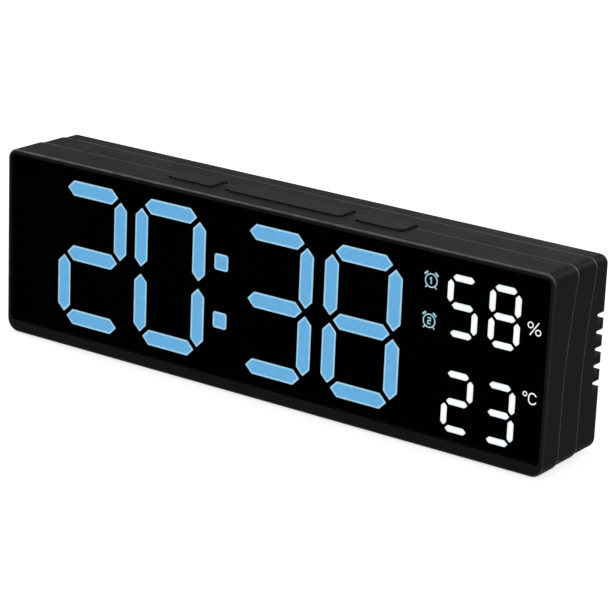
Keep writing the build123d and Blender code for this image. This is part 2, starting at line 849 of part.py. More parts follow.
def make_switch(x):
    """Push switch housing on the board's back, with a well for its plunger."""
    housing = slab(switch_width, switch_height, board_back, board_back + switch_depth, x,
                   switch_top - switch_height / 2)
    well_low = switch_top - plunger_hidden - key_travel - plunger_gap
    well = Rectangle(plunger_width + 2 * plunger_gap, plunger_depth + 2 * plunger_gap)
    return housing - upright(Pos(x, y_at(switch_middle)) * well, well_low, switch_top + overrun)


def make_screw(radius, head_radius, head_height, tip, seat, x, z):
    """Slotted screw along Y, from its tip to its head's seat, with its head behind the seat."""
    head = rod(head_radius, seat, seat + head_height, x, z)
    slot = slab(2 * head_radius, screw_slot_width, seat + head_height - screw_slot_depth,
                seat + head_height + overrun, x, z)
    return head - slot + rod(radius, tip, seat, x, z)


def make_cells():
    """Two backup cells side by side, turned opposite ways."""
    cells = []
    for side in (-1, 1):
        body_length = cell_length - cell_nub_length
        body = Pos(0, 0, -cell_nub_length / 2) * Cylinder(cell_radius, body_length)
        nub = Pos(0, 0, (cell_length - cell_nub_length) / 2) * Cylinder(cell_nub_radius, cell_nub_length)
        place = Pos(bay_x, y_at(cell_depth), case_middle + side * cell_rise)
        cells.append(place * Rot(0, side * 90, 0) * (body + nub))
    return cells


def make_contacts():
    """Battery contacts: two outer plates with tabs at the left end and one bridge at the right end."""
    left = bay_x - bay_length / 2
    right = bay_x + bay_length / 2
    plate_depths = (bay_floor, door_seat - cell_gap)
    plate_height = 2 * (cell_radius - contact_margin)
    bump_length = contact_room - contact_thickness
    contacts = []
    bridge_x = right - contact_thickness / 2
    bridge = slab(contact_thickness, plate_height + 2 * cell_rise, *plate_depths, bridge_x, case_middle)
    for tab, side in zip(contact_tabs(0), (-1, 1)):
        z = case_middle + side * cell_rise
        plate = slab(contact_thickness, plate_height, *plate_depths, left + contact_thickness / 2, z)
        bump = Rot(0, 90, 0) * Cylinder(contact_bump_radius, bump_length)
        left_bump = Pos(left + contact_thickness + bump_length / 2, y_at(cell_depth), z) * bump
        contacts.append(plate + tab + left_bump)
        bridge += Pos(right - contact_thickness - bump_length / 2, y_at(cell_depth), z) * bump
    return [*contacts, bridge]


def make_door():
    """Battery door: a flat cover with grip ridges and a sunk hole for its screw."""
    outline = Pos(door_x, case_middle) * RectangleRounded(door_length, door_height, door_corner_radius)
    door = prism(outline, door_seat, case_depth)
    screw_place = (door_screw_x, case_middle)
    door -= rod(door_screw_radius + screw_bore_gap, door_seat - overrun, case_depth, *screw_place)
    door -= rod(door_screw_head_radius + screw_bore_gap, case_depth - door_screw_head_height,
                case_depth + overrun, *screw_place)
    for number in range(door_ridge_count):
        x = bay_x + (number - (door_ridge_count - 1) / 2) * door_ridge_pitch
        door -= slab(door_ridge_width, bay_height / 2, case_depth - door_ridge_depth, case_depth + overrun,
                     x, case_middle)
    return door


def make_socket():
    """Power socket: a block behind the back wall with a round collar through it and a deep bore."""
    socket = slab(socket_width, socket_width, socket_front, inner_back, socket_x, socket_z)
    socket += rod(socket_collar_radius, inner_back, case_depth, socket_x, socket_z)
    return socket - rod(socket_bore_radius, case_depth - socket_bore_depth, case_depth + overrun,
                        socket_x, socket_z)


def make_socket_pin():
    """Middle pin of the power socket, standing on the floor of its bore."""
    return rod(socket_pin_radius, case_depth - socket_bore_depth, case_depth - socket_pin_short,
               socket_x, socket_z)


def lead(points, bend, section):
    """Wire of one section along straight runs with rounded corners."""
    path = FilletPolyline(*points, radius=bend)
    return sweep(Plane(origin=path @ 0, z_dir=path % 0) * section, path=path)


def make_power_leads():
    """Two wires from the top of the power socket to the board."""
    leads = []
    top = socket_z + socket_width / 2
    for side in (-1, 1):
        x = socket_x + side * lead_spacing / 2
        start = Vector(x, y_at(socket_front + lead_hold), top)
        turn = start + Vector(0, 0, lead_rise)
        end = Vector(x, y_at(board_back), top + lead_rise)
        leads.append(lead([start, turn, end], lead_bend, Circle(lead_radius)))
    return leads


def make_battery_leads():
    """Two wires from the battery contacts' tabs to the board."""
    leads = []
    x = bay_x - bay_length / 2 + contact_thickness / 2
    start_y = y_at(board_back + bay_room * (1 - contact_tab_share))
    run = bay_room * lead_run_share
    for side in (-1, 1):
        z = case_middle + side * cell_rise
        points = [
            Vector(x, start_y, z),
            Vector(x, start_y - run, z),
            Vector(x - lead_shift, y_at(board_back) + run, z),
            Vector(x - lead_shift, y_at(board_back), z),
        ]
        leads.append(lead(points, run * lead_turn_share, Circle(lead_radius)))
    return leads


def make_ribbon():
    """Flat cable from the sensor's board to the display's board."""
    x = sensor_x - sensor_board_thickness / 2
    y = y_at(sensor_middle)
    points = [
        Vector(x, y, case_middle),
        Vector(x - ribbon_reach, y, case_middle),
        Vector(x - ribbon_reach, y_at(board_back), case_middle),
    ]
    path = FilletPolyline(*points, radius=ribbon_bend)
    start = Plane(origin=path @ 0, x_dir=(0, 0, 1), z_dir=path % 0)
    return sweep(start * Rectangle(ribbon_width, ribbon_thickness), path=path)


def on_board(size, share):
    """A chip of a width, height and thickness on the board's back, at its share along the row."""
    width, height, thickness = size
    return slab(width, height, board_back, board_back + thickness, window_half * share, case_middle)


# Every node with its solids
nodes = {
    "front_frame": [make_front_frame()],
    "rear_case": [make_rear_case()],
    "front_lens": [make_lens()],
    "lens_tape": [make_tape()],
    "rubber_feet": [foot(*place, 0) for place in foot_places()],
    "switch_housings": [make_switch(x) for x, width in key_table.values()],
    "control_chip": [on_board(control_chip_size, control_chip_share)],
    "driver_chips": [on_board(driver_chip_size, share) for share in driver_chip_shares],
    "quartz_crystal": [
        Pos(window_half * crystal_share, y_at(board_back + crystal_radius), case_middle + crystal_rise)
        * Rot(0, 90, 0) * Cylinder(crystal_radius, crystal_length)
    ],
    "filter_capacitors": [
        rod(capacitor_radius, board_back, board_back + capacitor_length, window_half * capacitor_share,
            case_middle + rise)
        for rise in capacitor_rises
    ],
    "buzzer": [
        rod(buzzer_radius, board_back, board_back + buzzer_height, buzzer_x, case_middle + buzzer_rise)
        - rod(buzzer_vent_radius, board_back + buzzer_height / 2, board_back + buzzer_height + overrun,
              buzzer_x, case_middle + buzzer_rise)
    ],
    "backup_cells": make_cells(),
    "battery_contacts": make_contacts(),
    "battery_leads": make_battery_leads(),
    "battery_door": [make_door()],
    "door_screw": [
        make_screw(door_screw_radius, door_screw_head_radius, door_screw_head_height,
                   door_seat - door_screw_bite, case_depth - door_screw_head_height,
                   door_screw_x, case_middle)
    ],
    "power_socket": [make_socket()],
    "socket_pin": [make_socket_pin()],
    "power_leads": make_power_leads(),
    "sensor_board": [sensor_plate(0)],
    "climate_sensor": [
        slab(sensor_chip_thickness, sensor_chip_size, sensor_middle - sensor_chip_size / 2,
             sensor_middle + sensor_chip_size / 2,
             sensor_x + (sensor_board_thickness + sensor_chip_thickness) / 2, case_middle)
    ],
    "sensor_ribbon": [make_ribbon()],
    "case_screws": [
        make_screw(screw_radius, screw_head_radius, screw_head_height,
                   board_back - screw_bite, head_seat, x, z)
        for x, z in boss_places
    ],
    "board_screws": [
        make_screw(board_screw_radius, board_screw_head_radius, board_screw_head_height,
                   board_front - board_screw_bite, board_back, x, z)
        for x, z in board_screw_places
    ],
}
nodes.update(make_display())
for key_name, (key_x, key_width) in key_table.items():
    nodes[key_name + "_key"] = [make_key(key_x, key_width)]
    nodes[key_name + "_plunger"] = [make_plunger(key_x)]

os.makedirs("parts", exist_ok=True)
for node_name, solids in nodes.items():
    shape = solids[0] if len(solids) == 1 else Compound(solids)
    export_step(shape, f"parts/{node_name}.step")
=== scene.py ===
import bpy
import bmesh
import math
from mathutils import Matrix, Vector
from mathutils.geometry import intersect_line_line


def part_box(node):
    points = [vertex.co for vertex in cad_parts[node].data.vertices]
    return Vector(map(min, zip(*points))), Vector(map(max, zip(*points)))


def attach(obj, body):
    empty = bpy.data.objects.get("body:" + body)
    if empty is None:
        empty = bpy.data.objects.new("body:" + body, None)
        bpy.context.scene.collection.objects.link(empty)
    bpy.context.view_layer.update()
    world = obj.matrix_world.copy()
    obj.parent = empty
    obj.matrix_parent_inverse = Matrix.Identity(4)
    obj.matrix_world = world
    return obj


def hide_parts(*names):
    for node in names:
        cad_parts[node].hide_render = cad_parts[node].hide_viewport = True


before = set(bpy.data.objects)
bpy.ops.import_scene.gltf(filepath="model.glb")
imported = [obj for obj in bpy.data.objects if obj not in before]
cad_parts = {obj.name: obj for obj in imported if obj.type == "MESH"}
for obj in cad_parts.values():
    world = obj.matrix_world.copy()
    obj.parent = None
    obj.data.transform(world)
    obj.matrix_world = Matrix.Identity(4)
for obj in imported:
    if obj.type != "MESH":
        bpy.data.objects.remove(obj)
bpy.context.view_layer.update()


# Case shells. A shallow front frame and a deeper rear case with two more steps, both moulded in black
# plastic with a fine spark-eroded skin. Six screws from behind pull them together along the first step.
case_black = (0.0061, 0.0067, 0.0070, 1)
case_bloom = (0.0086, 0.0095, 0.0098, 1)
# Paler colour of the rubbed edges, partly wear and partly a painted highlight along them.
case_worn_highlight = (0.105, 0.107, 0.107, 1)
dust_grey = (0.30, 0.31, 0.30, 1)
grain_depth = 0.0001
rubbed_roughness = 0.3
# How much of that paleness, wear and painted highlight, the upright edges get at the front and at the back.
front_upright_share = 0.14
rear_upright_share = 0.36


def put(tree, kind, inputs=None, **settings):
    """Put a node in a tree with its settings, and join or set its inputs."""
    made = tree.nodes.new(kind)
    for name, value in settings.items():
        setattr(made, name, value)
    for socket, value in (inputs or {}).items():
        if isinstance(value, bpy.types.NodeSocket):
            tree.links.new(value, made.inputs[socket])
        else:
            made.inputs[socket].default_value = value
    return made


def join(tree, node, **sockets):
    """Join values that change over the surface to a node's inputs, each by the input's name."""
    for label, value in sockets.items():
        tree.links.new(value, node.inputs[label.replace("_", " ")])


def effect(name, inputs, outputs):
    """A shader node group with named sockets: its tree, its input node and its output node."""
    tree = bpy.data.node_groups.new(name, "ShaderNodeTree")
    for direction, sockets in (("INPUT", inputs), ("OUTPUT", outputs)):
        for label, kind in sockets.items():
            tree.interface.new_socket(label, in_out=direction, socket_type="NodeSocket" + kind)
    return tree, tree.nodes.new("NodeGroupInput"), tree.nodes.new("NodeGroupOutput")


def blend(tree, share, first, second):
    """Colour between two colours by a share."""
    mix = put(tree, "ShaderNodeMix", {0: share, 6: first, 7: second}, data_type="RGBA")
    return mix.outputs[2]


def spread(tree, value, low, high, start=0.0, end=1.0):
    """A value taken from the range between start and end to the range between low and high."""
    ranged = put(tree, "ShaderNodeMapRange", {0: value, 1: start, 2: end, 3: low, 4: high})
    return ranged.outputs[0]


def reckon(tree, operation, first, second=0.0):
    """The result of one sum on one or two values."""
    return put(tree, "ShaderNodeMath", {0: first, 1: second}, operation=operation).outputs[0]


def clouds(tree, place, scale, detail, roughness=0.5):
    """Noise over the surface."""
    noise = put(tree, "ShaderNodeTexNoise",
                {"Vector": place, "Scale": scale, "Detail": detail, "Roughness": roughness})
    return noise.outputs[0]


# The moulded skin: fine eroded grain over slow clouds of tone and gloss.
moulded_skin, skin_in, skin_out = effect(
    "moulded_skin",
    {"Grain": "Float", "Deep": "Color", "Pale": "Color", "Smooth": "Float", "Rough": "Float"},
    {"Color": "Color", "Roughness": "Float", "Height": "Float"},
)
skin_place = put(moulded_skin, "ShaderNodeTexCoord").outputs["Object"]
skin_grain = clouds(moulded_skin, skin_place, scale=skin_in.outputs["Grain"], detail=2.0, roughness=0.6)
skin_cloud = clouds(moulded_skin, skin_place, scale=55.0, detail=4.0, roughness=0.65)
skin_tone = reckon(moulded_skin, "ADD", skin_grain, skin_cloud)
skin_share = spread(moulded_skin, skin_tone, low=0.0, high=1.0, start=0.75, end=1.25)
skin_colour = blend(moulded_skin, skin_share, skin_in.outputs["Deep"], skin_in.outputs["Pale"])
skin_gloss = spread(moulded_skin, skin_cloud, low=skin_in.outputs["Smooth"], high=skin_in.outputs["Rough"],
                    start=0.35, end=0.65)
join(moulded_skin, skin_out, Color=skin_colour, Roughness=skin_gloss, Height=skin_grain)

# Dust that settles in patches on faces that look up.
settled_dust, dust_in, dust_out = effect(
    "settled_dust", {"Color": "Color", "Dust": "Color", "Amount": "Float"}, {"Color": "Color"}
)
dust_place = put(settled_dust, "ShaderNodeTexCoord")
dust_fleck = clouds(settled_dust, dust_place.outputs["Object"], scale=140.0, detail=6.0, roughness=0.7)
dust_facing = put(settled_dust, "ShaderNodeSeparateXYZ", {0: dust_place.outputs["Normal"]})
dust_level = spread(settled_dust, dust_facing.outputs["Z"], low=0.0, high=1.0, start=0.6, end=0.98)
dust_patch = spread(settled_dust, dust_fleck, low=0.2, high=1.0, start=0.42, end=0.68)
dust_share = reckon(settled_dust, "MULTIPLY", dust_level, dust_patch)
dust_laid = reckon(settled_dust, "MULTIPLY", dust_share, dust_in.outputs["Amount"])
dust_colour = blend(settled_dust, dust_laid, dust_in.outputs["Color"], dust_in.outputs["Dust"])
join(settled_dust, dust_out, Color=dust_colour)

# Edges rubbed by handling, with a painted highlight: paler and smoother where the skin turns from the front
# or the back to the sides, most of all along the top and bottom edges and least down the front's upright
# edges. The paleness is partly wear and partly a painted highlight of the lamps and the white floor on the
# rounded edges.
worn_highlight_edges, sheen_wear_in, sheen_wear_out = effect(
    "worn_highlight_edges",
    {"Color": "Color", "Bare_Highlight": "Color", "Roughness": "Float", "Polished": "Float"},
    {"Color": "Color", "Roughness": "Float"},
)
sheen_wear_place = put(worn_highlight_edges, "ShaderNodeTexCoord")
sheen_wear_facing = put(worn_highlight_edges, "ShaderNodeSeparateXYZ", {0: sheen_wear_place.outputs["Normal"]})
sheen_wear_backward = sheen_wear_facing.outputs["Y"]
sheen_wear_square = reckon(worn_highlight_edges, "MULTIPLY", sheen_wear_backward, sheen_wear_backward)
sheen_wear_rest = reckon(worn_highlight_edges, "SUBTRACT", 1.0, sheen_wear_square)
sheen_wear_turn = reckon(worn_highlight_edges, "MULTIPLY", sheen_wear_square, sheen_wear_rest)
# The band of rounded and rolled edges that is painted paler, as wear and as a painted highlight.
sheen_wear_edge = spread(worn_highlight_edges, sheen_wear_turn, low=0.0, high=1.0, start=0.002, end=0.045)
sheen_wear_fleck = clouds(worn_highlight_edges, sheen_wear_place.outputs["Object"], scale=240.0, detail=5.0, roughness=0.7)
sheen_wear_break = spread(worn_highlight_edges, sheen_wear_fleck, low=0.55, high=1.0, start=0.35, end=0.6)
sheen_wear_broken = reckon(worn_highlight_edges, "MULTIPLY", sheen_wear_edge, sheen_wear_break)
sheen_wear_upright = spread(worn_highlight_edges, sheen_wear_backward, low=front_upright_share, high=rear_upright_share,
                     start=-0.02, end=0.02)
sheen_wear_level = reckon(worn_highlight_edges, "ABSOLUTE", sheen_wear_facing.outputs["Z"])
sheen_wear_along = spread(worn_highlight_edges, sheen_wear_level, low=sheen_wear_upright, high=1.0, start=0.0, end=0.7)
sheen_wear_share = reckon(worn_highlight_edges, "MULTIPLY", sheen_wear_broken, sheen_wear_along)
sheen_wear_colour = blend(worn_highlight_edges, sheen_wear_share, sheen_wear_in.outputs["Color"], sheen_wear_in.outputs["Bare_Highlight"])
sheen_wear_gloss = spread(worn_highlight_edges, sheen_wear_share, low=sheen_wear_in.outputs["Roughness"],
                   high=sheen_wear_in.outputs["Polished"])
join(worn_highlight_edges, sheen_wear_out, Color=sheen_wear_colour, Roughness=sheen_wear_gloss)


def surface(name, **sockets):
    """A new material: its node tree and its shader, with the values that are the same all over."""
    material = bpy.data.materials.new(name)
    material.use_nodes = True
    tree = material.node_tree
    shader = tree.nodes["Principled BSDF"]
    for socket, value in sockets.items():
        shader.inputs[socket.replace("_", " ")].default_value = value
    return material, tree, shader


def moulded(name, grain, deep, pale, smooth, rough, relief, dust=0.0, worn_highlight=None, **sockets):
    """Moulded plastic or rubber: skin, rubbed edges with a painted highlight, settled dust, shallow grain
    relief.
    """
    material, tree, shader = surface(name, **sockets)
    skin = put(tree, "ShaderNodeGroup",
               {"Grain": grain, "Deep": deep, "Pale": pale, "Smooth": smooth, "Rough": rough},
               node_tree=moulded_skin)
    colour = skin.outputs["Color"]
    gloss = skin.outputs["Roughness"]
    if worn_highlight:
        wear = put(tree, "ShaderNodeGroup",
                   {"Color": colour, "Bare_Highlight": worn_highlight, "Roughness": gloss, "Polished": rubbed_roughness},
                   node_tree=worn_highlight_edges)
        colour = wear.outputs["Color"]
        gloss = wear.outputs["Roughness"]
    if dust:
        film = put(tree, "ShaderNodeGroup", {"Color": colour, "Dust": dust_grey, "Amount": dust},
                   node_tree=settled_dust)
        colour = film.outputs["Color"]
    bump = put(tree, "ShaderNodeBump",
               {"Strength": relief, "Distance": grain_depth, "Height": skin.outputs["Height"]})
    join(tree, shader, Base_Color=colour, Roughness=gloss, Normal=bump.outputs[0])
    return material


def dress(material, *nodes):
    """Give a finish to solids of the frame."""
    for name in nodes:
        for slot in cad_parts[name].material_slots:
            slot.material = material


# Its rounded edges are painted paler: wear and a painted highlight.
case_plastic = moulded("case_plastic", grain=1500.0, deep=case_black, pale=case_bloom, smooth=0.38,
                       rough=0.48, relief=0.25, dust=0.006, worn_highlight=case_worn_highlight, Specular_IOR_Level=0.008)
dress(case_plastic, "front_frame", "rear_case")


# Rubber pads. Four pads of soft black rubber, matt and slightly chalky, that are pressed into recesses
# under the case and carry it.
pad_black = (0.012, 0.012, 0.012, 1)
pad_chalk = (0.026, 0.026, 0.025, 1)
pad_rubber = moulded("pad_rubber", grain=900.0, deep=pad_black, pale=pad_chalk, smooth=0.75, rough=0.9,
                     relief=0.4, Specular_IOR_Level=0.2)
dress(pad_rubber, "rubber_feet")


# Display sheet. A thin black printed sheet with a window for each bar and sign, held flat against the
# light box, so only the lit windows are seen through the front.
print_black = (0.0003, 0.0003, 0.0003, 1)
print_bloom = (0.0006, 0.0006, 0.0006, 1)
sheet_print = moulded("sheet_print", grain=2200.0, deep=print_black, pale=print_bloom, smooth=0.6,
                      rough=0.75, relief=0.1, Specular_IOR_Level=0.004)
dress(sheet_print, "display_mask")


# Lit bars and signs. Milky diffusers that fill the sheet's windows; the LEDs behind them light the
# faces evenly, with a brighter line along the rim where the light leaks round the edge.
bar_blue = (0.142, 0.432, 0.745, 1)
bar_blue_deep = (0.128, 0.405, 0.712, 1)
rim_blue = (0.410, 0.660, 0.810, 1)
rim_blue_deep = (0.290, 0.570, 0.770, 1)
bar_white = (1.0, 1.0, 1.0, 1)
bar_white_deep = (0.96, 0.98, 1.0, 1)
rim_white = (0.90, 0.96, 1.0, 1)
rim_white_deep = (0.80, 0.90, 0.97, 1)
sign_white = (1.0, 1.0, 1.0, 1)
sign_white_deep = (0.94, 0.98, 1.0, 1)
icon_blue = (0.42, 0.68, 0.80, 1)
icon_blue_deep = (0.31, 0.60, 0.74, 1)
diffuser_dark = (0.01, 0.01, 0.01, 1)
white_gain = 1.15
lens_pass_share = 0.5
rim_width = 0.00065
straight_run = 0.0006
weld_gap = 0.000001
flat_angle = 0.002
front_facing = -0.99

# Slow, faint clouds in a lit diffuser.
milky_glow, glow_in, glow_out = effect(
    "milky_glow", {"Full": "Color", "Dim": "Color"}, {"Color": "Color"}
)
glow_place = put(milky_glow, "ShaderNodeTexCoord").outputs["Object"]
glow_cloud = clouds(milky_glow, glow_place, scale=420.0, detail=3.0, roughness=0.6)
glow_share = spread(milky_glow, glow_cloud, low=0.0, high=1.0, start=0.35, end=0.65)
glow_colour = blend(milky_glow, glow_share, glow_in.outputs["Dim"], glow_in.outputs["Full"])
join(milky_glow, glow_out, Color=glow_colour)


def lit(name, full, dim, gain=1.0):
    """Lit diffuser of a colour, bright enough to show that colour through the smoked front."""
    material, tree, shader = surface(name, Base_Color=diffuser_dark, Roughness=0.6, Specular_IOR_Level=0.02,
                                     Emission_Strength=gain / lens_pass_share)
    glow = put(tree, "ShaderNodeGroup", {"Full": full, "Dim": dim}, node_tree=milky_glow)
    join(tree, shader, Emission_Color=glow.outputs["Color"])
    return material


blue_face = lit("blue_face", bar_blue, bar_blue_deep)
blue_rim = lit("blue_rim", rim_blue, rim_blue_deep)
white_face = lit("white_face", bar_white, bar_white_deep, white_gain)
white_rim = lit("white_rim", rim_white, rim_white_deep)
sign_face = lit("sign_face", sign_white, sign_white_deep)
icon_face = lit("icon_face", icon_blue, icon_blue_deep)
dress(sign_face, "percent_sign", "degree_sign")
dress(icon_face, "alarm_icons")


def rimmed(node_name, piece_name, face, rim):
    """The lit bars of one readout, each with a narrow rim drawn inside the edge of its front face."""
    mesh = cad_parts[node_name].data.copy()
    mesh.name = piece_name
    mesh.materials.clear()
    mesh.materials.append(face)
    mesh.materials.append(rim)
    shape = bmesh.new()
    shape.from_mesh(mesh)
    bmesh.ops.remove_doubles(shape, verts=shape.verts, dist=weld_gap)
    bmesh.ops.dissolve_limit(shape, angle_limit=flat_angle, verts=shape.verts, edges=shape.edges)
    fronts = [side for side in shape.faces if side.normal.y < front_facing]
    for side in shape.faces:
        side.material_index = 0
        side.smooth = False
    for side in fronts:
        outline = list(side.verts)
        count = len(outline)
        starts = [number for number in range(count)
                  if (outline[(number + 1) % count].co - outline[number].co).length > straight_run]
        runs = []
        for number in starts:
            start, end = outline[number].co, outline[(number + 1) % count].co
            along = (end - start).normalized()
            drawn_in = start + side.normal.cross(along) * rim_width
            runs.append((drawn_in, drawn_in + along))
        corners = [intersect_line_line(*runs[place - 1], *run)[0] for place, run in enumerate(runs)]
        inner = [shape.verts.new(corner) for corner in corners]
        shape.faces.new(inner).material_index = 0
        for place, number in enumerate(starts):
            after = (place + 1) % len(starts)
            turn_length = (starts[after] - number - 1) % count
            turn = [outline[(number + 1 + step) % count] for step in range(turn_length + 1)]
            strip = [outline[number], turn[0], inner[after], inner[place]]
            shape.faces.new(strip).material_index = 1
            if turn_length:
                shape.faces.new([*turn, inner[after]]).material_index = 1
    bmesh.ops.delete(shape, geom=fronts, context="FACES_ONLY")
    shape.to_mesh(mesh)
    shape.free()
    piece = bpy.data.objects.new(piece_name, mesh)
    bpy.context.collection.objects.link(piece)
    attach(piece, "case")
    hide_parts(node_name)


for blue_node in ("hour_tens_segments", "hour_units_segments", "minute_tens_segments",
                  "minute_units_segments", "colon_dots"):
    blue_piece = blue_node.replace("segments", "bars").replace("dots", "lights")
    rimmed(blue_node, blue_piece, blue_face, blue_rim)
for white_node in ("humidity_segments", "temperature_segments"):
    white_piece = white_node.replace("segments", "bars")
    rimmed(white_node, white_piece, white_face, white_rim)


# Unlit bars. The same milky diffusers in the windows whose LEDs are off, tinted dark so that they vanish
# behind the smoked front.
unlit_black = (0.0004, 0.0004, 0.0004, 1)
unlit_bloom = (0.0008, 0.0008, 0.0008, 1)
unlit_bar = moulded("unlit_bar", grain=1200.0, deep=unlit_black, pale=unlit_bloom, smooth=0.55, rough=0.7,
                    relief=0.1, Specular_IOR_Level=0.004)
dress(unlit_bar, "unlit_segments")


# Front. A flat sheet of smoked acrylic with polished faces, stuck into its seat by a thin tape frame.
# Light passes two faces, and each takes up the same share of it, which makes the smoke.
smoke_black = (0.0002, 0.0002, 0.0002, 1)
smoke_bloom = (0.0004, 0.0004, 0.0004, 1)
smoke_share = 1 - math.sqrt(lens_pass_share)
smoked_acrylic, acrylic_tree, acrylic_shader = surface(
    "smoked_acrylic", Alpha=smoke_share, Specular_IOR_Level=0.004, IOR=1.49)
acrylic_skin = put(
    acrylic_tree, "ShaderNodeGroup",
    {"Grain": 300.0, "Deep": smoke_black, "Pale": smoke_bloom, "Smooth": 0.06, "Rough": 0.11},
    node_tree=moulded_skin)
join(acrylic_tree, acrylic_shader, Base_Color=acrylic_skin.outputs["Color"],
     Roughness=acrylic_skin.outputs["Roughness"])
dress(smoked_acrylic, "front_lens")

tape_dark = (0.0005, 0.0005, 0.0005, 1)
tape_bloom = (0.0010, 0.0010, 0.0010, 1)
tape_black = moulded("tape_black", grain=1800.0, deep=tape_dark, pale=tape_bloom, smooth=0.7, rough=0.85,
                     relief=0.3, Specular_IOR_Level=0.004)
dress(tape_black, "lens_tape")


# Light box. One white moulding with a chamber behind each window, which keeps its light from the next
# one. Four screws hold it to the board.
box_white = (0.72, 0.72, 0.70, 1)
box_white_pale = (0.82, 0.82, 0.80, 1)
white_moulding = moulded("white_moulding", grain=700.0, deep=box_white, pale=box_white_pale, smooth=0.45,
                         rough=0.6, relief=0.2, Specular_IOR_Level=0.4)
dress(white_moulding, "light_box")


# Boards. The display's board and the sensor's small board: glass fibre under green solder resist, with
# copper tracks that show through as paler lines.
resist_green = (0.012, 0.105, 0.045, 1)
track_green = (0.035, 0.20, 0.085, 1)
track_height = 0.00004
board_resist, board_tree, board_shader = surface("board_resist", Specular_IOR_Level=0.5)
board_place = put(board_tree, "ShaderNodeTexCoord").outputs["Object"]
board_turn = put(board_tree, "ShaderNodeMapping",
                 {"Vector": board_place, "Rotation": (math.radians(90), 0.0, 0.0)})
board_tracks = put(
    board_tree, "ShaderNodeTexBrick",
    {"Vector": board_turn.outputs[0], "Color1": resist_green, "Color2": resist_green, "Mortar": track_green,
     "Scale": 160.0, "Mortar Size": 0.045, "Brick Width": 1.7, "Row Height": 0.42},
    offset=0.37, squash=0.6, squash_frequency=3)
board_cloud = clouds(board_tree, board_place, scale=90.0, detail=4.0)
board_shade = spread(board_tree, board_cloud, low=0.8, high=1.1, start=0.3, end=0.7)
board_colour = put(board_tree, "ShaderNodeHueSaturation",
                   {"Value": board_shade, "Color": board_tracks.outputs["Color"]})
board_gloss = spread(board_tree, board_cloud, low=0.28, high=0.42)
board_bump = put(board_tree, "ShaderNodeBump",
                 {"Strength": 0.3, "Distance": track_height, "Height": board_tracks.outputs["Fac"]})
join(board_tree, board_shader, Base_Color=board_colour.outputs[0], Roughness=board_gloss,
     Normal=board_bump.outputs[0])
dress(board_resist, "display_board", "sensor_board")


# LEDs. Small bodies filled with yellowish resin, soldered to the front of the display's board, where
# they light the chambers of the light box.
resin_yellow = (0.62, 0.52, 0.20, 1)
resin_pale = (0.78, 0.72, 0.45, 1)
led_resin = moulded("led_resin", grain=600.0, deep=resin_yellow, pale=resin_pale, smooth=0.15, rough=0.3,
                    relief=0.1, Specular_IOR_Level=0.5)
dress(led_resin, "segment_leds")


# Chips, sensor, switches and buzzer. Plain bodies of black moulded epoxy with a fine ground skin, all
# soldered to the two boards.
epoxy_black = (0.010, 0.010, 0.011, 1)
epoxy_ground = (0.026, 0.026, 0.028, 1)
chip_epoxy = moulded("chip_epoxy", grain=2600.0, deep=epoxy_black, pale=epoxy_ground, smooth=0.5,
                     rough=0.68, relief=0.5, Specular_IOR_Level=0.3)
dress(chip_epoxy, "control_chip", "driver_chips", "climate_sensor", "switch_housings", "buzzer")


# Bright metal. Drawn and plated parts: screws, contacts, crystal can and socket pin, with fine drawing
# lines and a slightly clouded plating.
zinc_clear = (0.62, 0.62, 0.61, 1)
zinc_dull = (0.46, 0.47, 0.48, 1)
zinc_stretch = (2600.0, 300.0, 2600.0)
nickel_clear = (0.70, 0.68, 0.64, 1)
nickel_dull = (0.55, 0.53, 0.50, 1)
nickel_stretch = (300.0, 2400.0, 2400.0)
drawing_depth = 0.00003
plated_metal, plated_in, plated_out = effect(
    "plated_metal",
    {"Clear": "Color", "Dull": "Color", "Stretch": "Vector"},
    {"Color": "Color", "Roughness": "Float", "Height": "Float"},
)
plated_place = put(plated_metal, "ShaderNodeTexCoord").outputs["Object"]
plated_draw = put(plated_metal, "ShaderNodeMapping",
                  {"Vector": plated_place, "Scale": plated_in.outputs["Stretch"]})
plated_line = clouds(plated_metal, plated_draw.outputs[0], scale=1.0, detail=5.0, roughness=0.7)
plated_cloud = clouds(plated_metal, plated_place, scale=260.0, detail=3.0)
plated_share = spread(plated_metal, plated_cloud, low=0.0, high=1.0, start=0.35, end=0.65)
plated_colour = blend(plated_metal, plated_share, plated_in.outputs["Clear"], plated_in.outputs["Dull"])
plated_gloss = spread(plated_metal, plated_line, low=0.18, high=0.42, start=0.3, end=0.7)
join(plated_metal, plated_out, Color=plated_colour, Roughness=plated_gloss, Height=plated_line)


def plated(name, clear, dull, stretch):
    """Plated metal with drawing lines along one way."""
    material, tree, shader = surface(name, Metallic=1.0)
    plate = put(tree, "ShaderNodeGroup", {"Clear": clear, "Dull": dull, "Stretch": stretch},
                node_tree=plated_metal)
    bump = put(tree, "ShaderNodeBump",
               {"Strength": 0.15, "Distance": drawing_depth, "Height": plate.outputs["Height"]})
    join(tree, shader, Base_Color=plate.outputs["Color"], Roughness=plate.outputs["Roughness"],
         Normal=bump.outputs[0])
    return material


zinc_steel = plated("zinc_steel", zinc_clear, zinc_dull, zinc_stretch)
nickel_plate = plated("nickel_plate", nickel_clear, nickel_dull, nickel_stretch)
dress(zinc_steel, "case_screws", "board_screws", "door_screw")
dress(nickel_plate, "quartz_crystal", "battery_contacts", "socket_pin")


